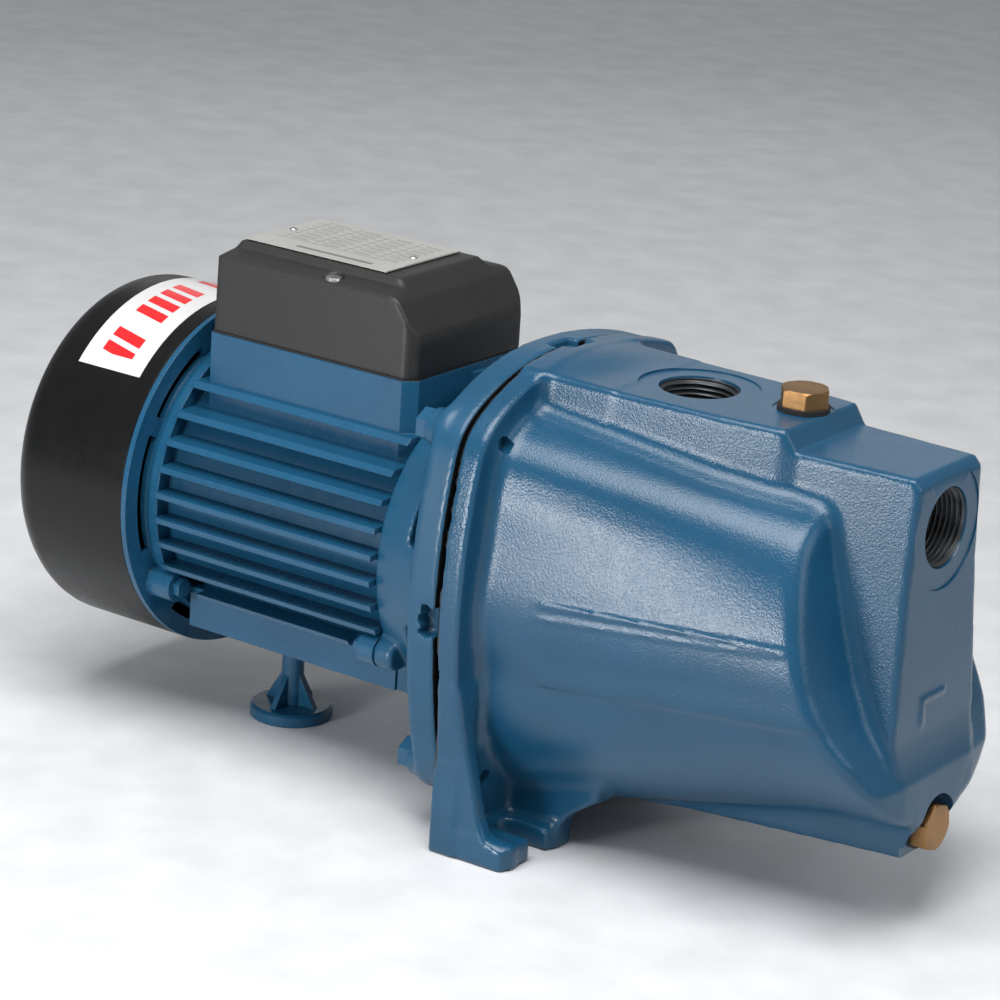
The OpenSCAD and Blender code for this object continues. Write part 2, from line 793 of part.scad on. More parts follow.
module cooling_fan() {
  color([0.12, 0.12, 0.12])
  difference() {
    union() {
      xc(-84, -60.3, 12);
      xc(-66, -63.5, 60);
      for (a = [0 : 45 : 315]) translate([0, 0, zs]) rotate([a, 0, 0]) translate([-84, -1.2, 11]) cube([19, 2.4, 49]);
    }
    difference() {
      xc(-90, -50, 6.02);
      translate([-90, -8, zs + 4.9]) cube([40, 16, 8]);
    }
    for (a = [22.5 : 45 : 337.5]) translate([0, 0, zs]) rotate([a, 0, 0]) xc(-70, -60, 5, 0, 24);
  }
}

module fan_clip() {
  color([0.5, 0.5, 0.52])
  difference() {
    xr(-60.1, -59.1, 10, 5.45);
    translate([-62, -3, zs]) cube([5, 6, 20]);
  }
}

module slinger() {
  color([0.05, 0.05, 0.05])
  union() {
    xr(114.5, 118, 11, 8.5);
    xr(117.4, 119, 14.5, 8.5);
  }
}

module seal_seat() {
  color([0.9, 0.9, 0.86])
  xr(130.5, 138.4, 12, 8.6);
}

module seat_cup() {
  color([0.05, 0.05, 0.05])
  difference() {
    xc(129.6, 136.8, 14.5);
    xc(130.45, 140, 12.02);
    xc(120, 135, 9);
  }
}

module seal_head() {
  color([0.12, 0.12, 0.13])
  union() {
    xr(138.8, 143, 11.5, 8.2);
    xr(142.5, 149, 13, 7.52);
  }
}

module seal_spring() {
  color([0.75, 0.75, 0.76])
  for (i = [0 : 3]) translate([150 + i * 2.9, 0, zs]) rotate([0, 90, 0]) rotate_extrude()
    translate([10, 0]) circle(r = 0.9);
}

module impeller() {
  color([0.72, 0.5, 0.25])
  difference() {
    union() {
      xc(161, 176, 11);
      xc(163, 166, impeller_radius);
      // front shroud with the eye
      turned([[172.5, 16], [178, 16], [178, 18.5], [175.2, 21], [174.5, impeller_radius], [172.5, impeller_radius]]);
      for (i = [0 : impeller_vanes - 1]) translate([0, 0, zs]) rotate([i * 360 / impeller_vanes, 0, 0])
        translate([164, 0, 0]) rotate([90, 0, 90]) linear_extrude(height = 9) difference() {
          translate([0, 31]) circle(r = 31);
          translate([0, 31]) circle(r = 28.6);
          translate([-90, -10]) square([90, 100]);
          circle(r = 13);
        }
    }
    xc(150, 180, 7.52);
    difference() {
      xc(150, 190, 90);
      xc(149, 191, impeller_radius);
    }
    translate([155, -2.02, zs + 6]) cube([25, 4.04, 3.6]);
  }
}

module impeller_key() {
  color([0.6, 0.6, 0.62])
  translate([163.1, -1.98, zs + 4.62]) cube([12.8, 3.96, 4.8]);
}

module impeller_nut() {
  color([0.7, 0.7, 0.7])
  difference() {
    xhex(177, 184, 14);
    xc(170, 190, 5.03);
  }
}

// ---------- ejector ----------
module diffuser() {
  color([0.25, 0.25, 0.24])
  difference() {
    union() {
      xr(146.6, 186, 65.6, 61);
      xr(180, 186, 65.6, 17);
      xc(178, 192, 20);
    }
    xc(140, 200, 17);
    xc(140, 180, 22);
    for (a = [45 : 90 : 315]) translate([0, 0, zs]) rotate([a, 0, 0]) xc(140, 190, 1.7, 0, 63.5);
    // outlets between the return vanes
    for (a = [0 : 30 : 330]) translate([0, 0, zs]) rotate([a + 15, 0, 0]) translate([160, -6, 50]) cube([18, 12, 12.4]);
    for (a = [0 : 90 : 270]) translate([0, 0, zs]) rotate([a, 0, 0]) translate([176, -14, 61.5]) cube([12, 28, 8]);
  }
}

module diffuser_screws() {
  color([0.7, 0.7, 0.7])
  for (a = [45 : 90 : 315]) translate([0, 0, zs]) rotate([a, 0, 0]) {
    xc(186, 188.5, 2.6, 0, 63.2);
    xc(141, 186.01, 1.65, 0, 63.5);
  }
}

module venturi_tube() {
  color([0.25, 0.25, 0.24])
  turned([[186.2, 13.5], [186.2, 16.9], [196, 16.9], [196, 18.5], [199, 18.5], [203, 15], [254, 13],
    [254, 18.5], [255.9, 18.5], [255.9, 15.9], [258.5, 15.9], [258.5, 14.2], [261.5, 14.2], [261.5, 15.9],
    [266, 15.9], [269, 14.5], [269, 12],
    [258, venturi_throat], [238, venturi_throat]]);
}

module venturi_oring() {
  color([0.05, 0.05, 0.05])
  xr(258.6, 261.4, 15.98, 14.25);
}

module ejector_nozzle() {
  color([0.72, 0.5, 0.24])
  difference() {
    union() {
      xc(298, 306, 8.95);
      xhex(291, 298, 19);
      xcone(277, 291.01, 5.4, 9);
    }
    xcone(276.9, 296, nozzle_hole, 6.5);
    xc(295.9, 310, 6.5);
  }
}

module nozzle_oring() {
  color([0.05, 0.05, 0.05])
  xr(304.1, 306, 11, 9);
}

pump_body();
motor_bracket();
casing_oring();
flange_bolts();
motor_frame();
frame_screws_front();
frame_screws_rear();
rear_shield();
fan_cover();
fan_cover_screws();
cover_sticker();
terminal_cover();
terminal_gasket();
cover_screws();
rating_plate();
plate_rivets();
terminal_block();
run_capacitor();
capacitor_clip();
cable_gland();
gland_nut();
earth_screw();
motor_foot();
foot_screw();
stator_core();
stator_windings();
rear_bearing_outer();
front_bearing_outer();
wave_washer();
seal_seat();
seat_cup();
diffuser();
diffuser_screws();
venturi_tube();
venturi_oring();
ejector_nozzle();
nozzle_oring();
shaft();
rotor_core();
rotor_cage();
rear_bearing_inner();
front_bearing_inner();
cooling_fan();
fan_clip();
slinger();
seal_head();
seal_spring();
impeller();
impeller_key();
impeller_nut();
rear_bearing_balls();
front_bearing_balls();
priming_plug();
priming_washer();
drain_plug();
drain_washer();
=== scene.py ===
"""Looks of the shallow well jet pump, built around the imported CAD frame.

Shapes are in millimetres: x runs along the shaft from the fan cover to the suction port, z is the
height above the base, and the near side is where y is below 0. The camera, the lights and the sizes
inside the materials are in metres.
"""
import json
import math

import bmesh
import bpy
import numpy as np
import openvdb
from mathutils import Matrix, Vector


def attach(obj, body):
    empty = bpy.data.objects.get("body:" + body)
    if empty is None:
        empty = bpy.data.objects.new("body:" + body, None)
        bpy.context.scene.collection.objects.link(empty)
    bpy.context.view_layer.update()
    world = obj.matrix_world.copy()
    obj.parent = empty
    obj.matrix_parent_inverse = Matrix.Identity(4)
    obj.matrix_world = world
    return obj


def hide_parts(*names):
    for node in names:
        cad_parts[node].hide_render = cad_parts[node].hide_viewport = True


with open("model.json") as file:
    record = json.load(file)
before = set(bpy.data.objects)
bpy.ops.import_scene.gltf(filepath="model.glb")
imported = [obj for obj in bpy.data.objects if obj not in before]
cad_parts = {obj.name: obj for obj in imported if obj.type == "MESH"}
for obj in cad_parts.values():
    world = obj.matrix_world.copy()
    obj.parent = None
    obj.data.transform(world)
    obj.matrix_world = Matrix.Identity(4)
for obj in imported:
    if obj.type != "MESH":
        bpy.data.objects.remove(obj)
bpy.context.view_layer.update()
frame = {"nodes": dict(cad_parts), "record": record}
nodes = frame["nodes"]
scene = bpy.context.scene

MM = 0.001
SHAFT_Z = 110.0
FLANGE_Z = 105.0              # height of the middle of the flange joint
JOINT_X = 141                 # rear face of the casing
BOLT_Y, BOLT_UP = 62, 74      # flange bolts, sideways from the shaft and up or down from FLANGE_Z
DECK_Z = 203.4                # top of the casing's block
SUCTION_Z = 170.5             # axis of the suction port
DISCHARGE_X = 207             # axis of the discharge port
PRIMING_X, PRIMING_Y = 255, 4
DRAIN_Z = 43
FAN_RADIUS = 80.5             # outside of the fan cover
COVER_SCREW_X, COVER_SCREW_Y = 41, 36.4


# ---------- camera, lights, floor ----------
def link_object(name, data):
    obj = bpy.data.objects.new(name, data)
    scene.collection.objects.link(obj)
    return obj


def make_camera():
    azimuth, elevation, roll = (math.radians(v) for v in (34.52, 18.02, 3.59))
    target, distance = Vector((0.110, 0.0, 0.13031)), 1.5678
    level = math.cos(elevation)
    back = Vector((math.sin(azimuth) * level, -math.cos(azimuth) * level, math.sin(elevation)))
    right = Vector((math.cos(azimuth), math.sin(azimuth), 0.0))
    up = back.cross(right)
    view_x = right * math.cos(roll) + up * math.sin(roll)
    view_y = up * math.cos(roll) - right * math.sin(roll)
    cam = bpy.data.cameras.new("camera")
    cam.sensor_width = 36.0
    cam.lens = 129.24
    cam.clip_start = 0.05
    cam.clip_end = 50.0
    obj = link_object("camera", cam)
    pose = Matrix((view_x, view_y, back)).transposed().to_4x4()
    pose.translation = target + back * distance
    obj.matrix_world = pose
    scene.camera = obj


def area_light(name, spot, aim, size, power):
    light = bpy.data.lights.new(name, "AREA")
    light.shape = "RECTANGLE"
    light.size, light.size_y = size
    light.energy = power
    obj = link_object(name, light)
    obj.location = spot
    obj.rotation_euler = (Vector(aim) - Vector(spot)).to_track_quat("-Z", "Y").to_euler()


def make_stage():
    world = bpy.data.worlds.new("world")
    scene.world = world
    world.use_nodes = True
    sky = world.node_tree.nodes["Background"]
    sky.inputs["Color"].default_value = (0.95, 0.97, 1.0, 1)
    sky.inputs["Strength"].default_value = 0.28
    scene.view_settings.view_transform = "Standard"
    # softbox_side is small, and makes the highlight on the casing
    area_light("softbox_side", (-0.116, -0.906, 0.190), (0.015, -0.165, -0.082), (0.235, 0.25), 4.0)
    area_light("softbox_top", (0.25, -0.45, 1.35), (0.12, 0, 0.12), (1.2, 0.9), 25)
    area_light("softbox_back", (-0.75, 1.20, 0.66), (0.15, 0, 0.19), (1.3, 0.6), 0.8)
    area_light("softbox_right", (1.45, 0.15, 0.85), (0.2, 0, 0.12), (0.9, 0.9), 3.5)
    mesh = bpy.data.meshes.new("floor")
    n, half = 4, 6.0
    marks = [-half + 2 * half * i / n for i in range(n + 1)]
    row = n + 1
    faces = [(j * row + i, j * row + i + 1, (j + 1) * row + i + 1, (j + 1) * row + i)
             for j in range(n) for i in range(n)]
    mesh.from_pydata([(u, v, 0) for v in marks for u in marks], [], faces)
    floor = link_object("floor", mesh)
    floor.location = (0, 0, -0.0002)
    floor.data.materials.append(paint("floor_paint", (0.66, 0.67, 0.68), 0.7, (40, 0.00002)))


# ---------- materials ----------
def add_node(tree, kind, **values):
    """New shader node; Two_Words=1 sets its input "Two Words" to 1."""
    node = tree.nodes.new("ShaderNode" + kind)
    for name, value in values.items():
        node.inputs[name.replace("_", " ")].default_value = value
    return node


def lay_over(tree, share, under, over):
    """Colour socket with the plain colour over laid on the socket under, by the socket share."""
    factor_in, under_in, over_in, color_out = 0, 6, 7, 2
    mix = tree.nodes.new("ShaderNodeMix")
    mix.data_type = "RGBA"
    tree.links.new(share, mix.inputs[factor_in])
    tree.links.new(under, mix.inputs[under_in])
    mix.inputs[over_in].default_value = tuple(over) + (1,)
    return mix.outputs[color_out]


def paint(name, base, rough, grain, fine=None, metal=0.0, coat=0.0, coat_rough=0.1, vary=0.06,
          vary_scale=30, rough_vary=0.05, bevel=0.0, wear=0.0, spec=0.5):
    """Material whose colour wanders by the share vary and whose roughness wanders by rough_vary.

    grain and fine are bumps: noise scale, depth and, if given, noise detail. wear lightens sharp
    edges, and bevel is the radius they are rounded by.
    """
    material = bpy.data.materials.new(name)
    material.use_nodes = True
    tree = material.node_tree
    link = tree.links.new
    shader = tree.nodes["Principled BSDF"]
    shader.inputs["Metallic"].default_value = metal
    shader.inputs["Coat Weight"].default_value = coat
    shader.inputs["Coat Roughness"].default_value = coat_rough
    shader.inputs["Specular IOR Level"].default_value = spec
    place = tree.nodes.new("ShaderNodeTexCoord").outputs["Object"]

    def noise(scale, detail, roughness=0.5):
        node = add_node(tree, "TexNoise", Scale=scale, Detail=detail, Roughness=roughness)
        link(place, node.inputs["Vector"])
        return node.outputs["Fac"]

    def tint(share, lift=0.0):
        return tuple(min(1, c * share + lift) for c in base)

    ramp = tree.nodes.new("ShaderNodeValToRGB")
    low, high = ramp.color_ramp.elements
    low.position, high.position = 0.32, 0.68
    low.color, high.color = tint(1 - vary) + (1,), tint(1 + vary) + (1,)
    link(noise(vary_scale, 4), ramp.inputs["Fac"])
    color = ramp.outputs["Color"]
    if wear:
        edge = add_node(tree, "MapRange", From_Min=0.53, From_Max=0.60, To_Max=wear)
        link(tree.nodes.new("ShaderNodeNewGeometry").outputs["Pointiness"], edge.inputs["Value"])
        color = lay_over(tree, edge.outputs["Result"], color, tint(1.7, 0.03))
    link(color, shader.inputs["Base Color"])

    spread = add_node(tree, "MapRange", From_Min=0.3, From_Max=0.7,
                      To_Min=max(0.03, rough - rough_vary), To_Max=min(1, rough + rough_vary))
    link(noise(vary_scale * 5, 3), spread.inputs["Value"])
    link(spread.outputs["Result"], shader.inputs["Roughness"])

    normal = None
    if bevel:
        rounding = add_node(tree, "Bevel", Radius=bevel)
        rounding.samples = 4
        normal = rounding.outputs["Normal"]
    for scale, depth, *detail in filter(None, (fine, grain)):
        bump = add_node(tree, "Bump", Strength=1.0, Distance=depth)
        link(noise(scale, detail[0] if detail else 2, 0.55), bump.inputs["Height"])
        if normal is not None:
            link(normal, bump.inputs["Normal"])
        normal = bump.outputs["Normal"]
    link(normal, shader.inputs["Normal"])
    if coat:
        link(normal, shader.inputs["Coat Normal"])
    return material


class Value:
    """A socket in a shader tree to calculate with: each operation adds one math node."""

    def __init__(self, tree, socket):
        self.tree, self.socket = tree, socket

    def op(self, kind, other):
        node = self.tree.nodes.new("ShaderNodeMath")
        node.operation = kind
        for slot, value in zip(node.inputs, (self, other)):
            if isinstance(value, Value):
                self.tree.links.new(value.socket, slot)
            else:
                slot.default_value = value
        return Value(self.tree, node.outputs[0])

    def __add__(self, other):
        return self.op("ADD", other)

    def __sub__(self, other):
        return self.op("SUBTRACT", other)

    def __mul__(self, other):
        return self.op("MULTIPLY", other)

    def __mod__(self, other):
        return self.op("MODULO", other)

    def __lt__(self, other):
        return self.op("LESS_THAN", other)

    def __gt__(self, other):
        return self.op("GREATER_THAN", other)

    def within(self, low, high):
        return (self > low) * (self < high)


def overprint(material, mask_of, color):
    """Lays a plain colour over the material's own where mask_of(x, y, z), in millimetres, is 1."""
    tree = material.node_tree
    base = tree.nodes["Principled BSDF"].inputs["Base Color"]
    split = tree.nodes.new("ShaderNodeSeparateXYZ")
    tree.links.new(tree.nodes.new("ShaderNodeTexCoord").outputs["Object"], split.inputs[0])
    mask = mask_of(*(Value(tree, out) * 1000.0 for out in split.outputs))
    tree.links.new(lay_over(tree, mask.socket, base.links[0].from_socket, color), base)


def sticker_bars(x, y, z):
    """Leaning bars in groups, round the fan cover."""
    bar_pitch, bar_width, group_pitch, group_width = 8.6, 5.6, 43.0, 35.0
    around = (z - SHAFT_Z).op("ARCTAN2", y * -1.0) * FAN_RADIUS
    leaning = around + x * 0.22
    bars = (leaning % bar_pitch) < bar_width
    groups = ((leaning + 11.0) % group_pitch) < group_width
    return bars * groups * x.within(-74.5, -56.0) * (around > 66.5)


def plate_lines(x, y, _z):
    """Table with a dash in each box, and a bar for a heading."""
    row_pitch, column_pitch, line_width = 5.2, 17.0, 0.35
    above_zero = 200.0        # added first, as the remainder is taken of numbers above 0

    def lines(v, pitch, width, shift=0.0):
        return ((v + (above_zero + shift)) % pitch) < width

    rows = lines(y, row_pitch, line_width) * x.within(-11.0, 57.0)
    columns = lines(x, column_pitch, line_width, 10.8) * y.within(-13.0, 23.6)
    ruled = rows.op("MAXIMUM", columns) * y.within(-13.2, 23.7)
    dashes = lines(y, row_pitch, 1.3, 3.2) * lines(x, column_pitch, 9.5, 7.5)
    dashes = dashes * x.within(-10.5, 56.0) * y.within(-12.6, 23.2) * 0.55
    heading = y.within(-22.5, -20.0) * x.within(8.0, 50.0) * 0.8
    return ruled.op("MAXIMUM", dashes).op("MAXIMUM", heading)


def joint_face_and_gap_shade(x, y, z):
    """The mating faces of casing and bracket are unpainted iron, coloured near black as painted shade
    down in the gap between the parts.
    """
    up = z - FLANGE_Z
    off_rim = (y * y + up * up) < 106.5 ** 2
    return x.within(138.75, 142.6) * off_rim.op("MAXIMUM", up > 0.0)


# ---------- distance fields: below 0 inside, above 0 outside ----------
def smin(a, b, k):
    """Union, with a blend k wide."""
    h = np.maximum(k - np.abs(a - b), 0) / k
    return np.minimum(a, b) - h * h * (k * 0.25)


def smax(a, b, k):
    """Intersection, with an edge rounded over k."""
    return -smin(-a, -b, k)


def grid(lo, hi, step):
    x, y, z = (np.arange(a, b + step, step, dtype=np.float32) for a, b in zip(lo, hi))
    return x[:, None, None], y[None, :, None], z[None, None, :]


def poly(u, v, points):
    """Distance from a closed outline."""
    shape = np.broadcast(u, v).shape
    nearest = np.full(shape, 1e9, np.float32)
    sign = np.ones(shape, np.float32)
    for a, b in zip(points, points[-1:] + points[:-1]):
        eu, ev = b[0] - a[0], b[1] - a[1]
        du, dv = u - a[0], v - a[1]
        t = np.clip((du * eu + dv * ev) / (eu * eu + ev * ev), 0, 1)
        nearest = np.minimum(nearest, (du - eu * t) ** 2 + (dv - ev * t) ** 2)
        above, below, left = v >= a[1], v < b[1], eu * dv > ev * du
        sign = np.where((above & below & left) | (~above & ~below & ~left), -sign, sign)
    return sign * np.sqrt(nearest)


def span(t, a, b):
    """Distance from the slab between a and b."""
    return np.maximum(a - t, t - b)


def step01(t):
    """Smooth step from 0 to 1."""
    t = np.clip(t, 0, 1)
    return t * t * (3 - 2 * t)


def table(t, at, values):
    """Values read off a line through the given points."""
    return np.interp(t, at, values).astype(np.float32)


def field_mesh(name, field, lo, step):
    band = 3 * step
    volume = openvdb.FloatGrid(band)
    volume.copyFromArray(np.ascontiguousarray(np.clip(field, -band, band)), tolerance=1e-4)
    points, triangles, quads = volume.convertToPolygons(0.0, 0.0)
    points = (points * step + np.array(lo, np.float32)) * MM
    faces = [tuple(int(i) for i in face[::-1]) for group in (quads, triangles) for face in group]
    mesh = bpy.data.meshes.new(name)
    mesh.from_pydata(points.tolist(), [], faces)
    mesh.validate()
    obj = link_object(name, mesh)
    fix_outward(obj)
    return obj


# ---------- meshes ----------
def fix_outward(obj):
    bm = bmesh.new()
    bm.from_mesh(obj.data)
    if bm.calc_volume(signed=True) < 0:
        bmesh.ops.reverse_faces(bm, faces=bm.faces)
    bm.to_mesh(obj.data)
    bm.free()


def new_object(name, verts, faces):
    mesh = bpy.data.meshes.new(name)
    mesh.from_pydata([(v[0] * MM, v[1] * MM, v[2] * MM) for v in verts], [], faces)
    return link_object(name, mesh)


def stand_along(axis, centre, verts):
    """Points laid out along x, turned to lie along another axis and moved to centre."""
    i, j, k = {"x": (0, 1, 2), "y": (2, 0, 1), "z": (1, 2, 0)}[axis]
    return [(v[i] + centre[0], v[j] + centre[1], v[k] + centre[2]) for v in verts]


def ring(along, radius, n):
    turns = [2 * math.pi * i / n for i in range(n)]
    return [(along, radius * math.cos(a), radius * math.sin(a)) for a in turns]


def lathe(name, profile, axis="x", centre=(0, 0, SHAFT_Z), n=96):
    """Closed solid turned from (along, radius) pairs.

    The first and the last pair lie on the axis, or the last one joins up with the first.
    """
    verts, faces, rings = [], [], []
    for along, radius in profile:
        new = ring(along, radius, n) if radius > 0 else [(along, 0, 0)]
        rings.append(list(range(len(verts), len(verts) + len(new))))
        verts += new
    pairs = list(zip(rings, rings[1:]))
    if len(rings[0]) > 1 and len(rings[-1]) > 1:
        pairs.append((rings[-1], rings[0]))
    for p, q in pairs:
        if len(p) == 1 and len(q) == 1:
            continue
        for i in range(n):
            j = (i + 1) % n
            if len(p) == 1:
                faces.append((p[0], q[i], q[j]))
            elif len(q) == 1:
                faces.append((p[i], q[0], p[j]))
            else:
                faces.append((p[i], q[i], q[j], p[j]))
    obj = new_object(name, stand_along(axis, centre, verts), faces)
    fix_outward(obj)
    return obj


def prism(name, outline, a, b, plane):
    """Outline in the plane xz or yz, drawn out from a to b along the third axis."""
    order = {"xz": lambda u, v, t: (u, t, v), "yz": lambda u, v, t: (t, u, v)}[plane]
    n = len(outline)
    verts = [order(u, v, t) for t in (a, b) for u, v in outline]
    faces = [tuple(range(n)), tuple(range(2 * n - 1, n - 1, -1))]
    faces += [(i, i + n, (i + 1) % n + n, (i + 1) % n) for i in range(n)]
    obj = new_object(name, verts, faces)
    fix_outward(obj)
    return obj


def carve(obj, cutters):
    """Cuts the cutters out of obj, and removes them."""
    for cutter in cutters:
        cut = obj.modifiers.new("cut", "BOOLEAN")
        cut.object = cutter
        cut.operation = "DIFFERENCE"
        cut.solver = "MANIFOLD"
    bpy.context.view_layer.update()
    result = obj.evaluated_get(bpy.context.evaluated_depsgraph_get())
    mesh = bpy.data.meshes.new_from_object(result)
    obj.modifiers.clear()
    obj.data = mesh
    for cutter in cutters:
        bpy.data.objects.remove(cutter)
    return obj


def finish_piece(obj, body, material, replaces=(), angle=50):
    """Shades the piece smooth up to angle degrees, and hands it to the frame."""
    obj.data.polygons.foreach_set("use_smooth", [True] * len(obj.data.polygons))
    obj.data.set_sharp_from_angle(angle=math.radians(angle))
    obj.data.materials.clear()
    obj.data.materials.append(material)
    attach(obj, body)
    if replaces:
        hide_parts(*replaces)


# ---------- pump casing ----------
def flange_field(y, z, inset):
    """Outline of the flange: shallow arcs on all four sides, drawn in by inset."""
    half, bulge = 86, 259
    far = np.hypot(y - (half - bulge), z - FLANGE_Z) - (bulge - inset)
    near = np.hypot(y + (half - bulge), z - FLANGE_Z) - (bulge - inset)
    bottom = np.hypot(y, z - 148) - (146 - inset)
    # the upper corner on the far side reaches further out than the other three
    top = np.where(y > 0, np.hypot(y, z + 22) - (230 - inset), np.hypot(y, z - 62) - (146 - inset))
    reach = np.where((y > 0) & (z > FLANGE_Z), 119, 107.5)
    corner = np.hypot(y, z - FLANGE_Z) - (reach - inset)
    return smax(smax(smax(smax(far, near, 2), bottom, 5), top, 5), corner, 5)


def barrel_field(x, y, z):
    ay = np.abs(y)
    # a cone round the shaft, whose upper part follows the flange's outline and loses it forwards
    cone = np.hypot(y, z - SHAFT_Z) - (74 - (x - 150) * 8 / 170)
    outline = flange_field(y, z, 0) + 12 + 0.047 * (x - 150)
    share = 1 - (1 - np.clip((x - 150) / 235, 0, 1)) * step01((z - FLANGE_Z) / 55)
    upper = cone * share + outline * (1 - share)
    # a second cone below, which rises forwards
    axis_z = 83.5 + 0.2168 * (x - 185)
    lower = (np.hypot(y, z - axis_z) - (68 - 3 * (x - 185) / 135)) * 0.976
    barrel = smin(upper, lower, 3)
    # mould marks on both flanks: two ridges that close up forwards, and a low step under them
    along = x - 181
    ridge_z = 119 + along * 7.6 / 115
    gap = 6.5 - 4.5 * np.clip(along / 115, 0, 1)
    run = step01((x - 178) / 8) * step01((302 - x) / 8) * (ay > 45)
    ridges = (0.75 * np.exp(-((z - ridge_z) / 1.1) ** 2)
              + 0.5 * np.exp(-((z - ridge_z + gap) / 0.9) ** 2))
    barrel = barrel - run * ridges
    step_z = 82 + along * 13 / 128
    run = step01((x - 176) / 10) * step01((316 - x) / 10) * (ay > 40)
    raised = 0.45 * (1 + np.tanh((z - step_z) / 0.7)) * step01((step_z + 14 - z) / 12)
    barrel = barrel - run * raised
    # front end: leans back upwards and bulges in the middle
    end_x = table(z, [50, 68, 82, 94, 110, 132, 157, 169, 190, 240],
                  [332, 330, 323, 315, 307, 299, 291, 288, 281, 278])
    end = (x - end_x - 0.125 * np.clip(70 - ay, 0, 42)) * 0.9
    return np.maximum(smax(barrel, end, 6), JOINT_X + 2 - x)


def block_half_width(x, z):
    at_lower_deck = table(x, [141, 185, 238, 265, 273, 328], [35.5, 34.5, 33, 30.2, 28.4, 25.5])
    draft, lower_deck_z = 0.0805, 195
    return at_lower_deck + draft * (lower_deck_z - z)


def block_field(x, ay, z):
    """Block with the deck, the lower deck, the front face and the keel."""
    profile = poly(x, z, [(141, 100), (141, DECK_Z), (266, DECK_Z), (271.5, 195.5), (324.5, 195.5),
                          (328, 191.5), (328, 150), (331, 85), (334, 46), (333, 31), (205, 20.5),
                          (185, 70)])
    keel = table(z, [10, 25, 57, 76, 90, 110], [14, 14, 15.5, 32, 38, 50])
    side = smax(ay - block_half_width(x, z), ay - keel, 6)
    return smax(profile, side, 2.6)


def casing_flange(x, y, z):
    """Flange with a ragged rear edge, which stands back further low down on the near side."""
    out = flange_field(y, z, 0)
    turn = np.arctan2(z - FLANGE_Z, y)
    ragged = np.sin(7 * turn + 1) + 0.6 * np.sin(17 * turn + 2) + 0.5 * np.sin(43 * turn)
    back = 0.55 * np.maximum(0, ragged) + 1.8 * step01((100 - z) / 40) * (y < 0)
    rear = 141.4 + back * step01((out + 6) / 2)
    return smax(smax(out, x - 152, 2.2), rear - x, 0.7)


def crown_field(x, y, z):
    """Top of the flange running out into the deck."""
    arc_z = 62 + np.sqrt(np.maximum(146 ** 2 - y * y, 0))
    top = DECK_Z + np.maximum(arc_z - DECK_Z, 0) * (1 - step01((x - 152) / 30))
    side = np.abs(y) - block_half_width(x, z)
    crown = smax(smax(z - top, side, 2.6), span(x, 141.3, 186), 0.8)
    return np.maximum(crown, 185 - z)


def feet_field(x, ay, z):
    pad = smax(poly(x, ay, [(141, 33), (179, 35), (179, 76), (170, 79), (141, 81.5)]),
               span(z, -4, 10), 2.5)
    upright = smax(poly(ay, z, [(30, -4), (81.5, -4), (82.5, 18), (80.5, 40), (30, 60)]),
                   span(x, 141, 152), 2.2)
    web = smax(poly(x, z, [(141, -4), (178, -4), (178, 9), (169, 11), (164.5, 20), (161, 34),
                           (156, 52), (152, 74), (141, 74)]), span(ay, 73.5, 81.5), 2.5)
    rib = smax(poly(x, z, [(141, -4), (179, -4), (180.5, 11), (186, 17), (199, 26), (199, 52),
                           (141, 60)]), span(ay, 34, 43), 2.5)
    feet = smin(smin(smin(pad, upright, 3), web, 5), rib, 6)
    # floor-bolt slot, open forwards
    slot_x, slot_y, slot_half = 162, 55.5, 6
    across = ay - slot_y
    slot = np.where(x > slot_x, np.abs(across), np.hypot(x - slot_x, across)) - slot_half
    return smax(feet, -np.maximum(slot, z - 13), 1.6)


def top_recess(y, z, beyond):
    """Recess on top of the joint, where the field beyond is below 0."""
    return np.maximum(np.maximum(beyond, np.abs(y - 1.5) - 7.5), 203 - z)


def seat_cut(start, face, end, radius, axis, centre):
    """Hole for a plug, and the space above its seat."""
    hole = 8.1
    profile = [(start, 0), (start, hole), (face, hole), (face + 0.01, radius), (end, radius), (end, 0)]
    return lathe("seat", profile, axis, centre)


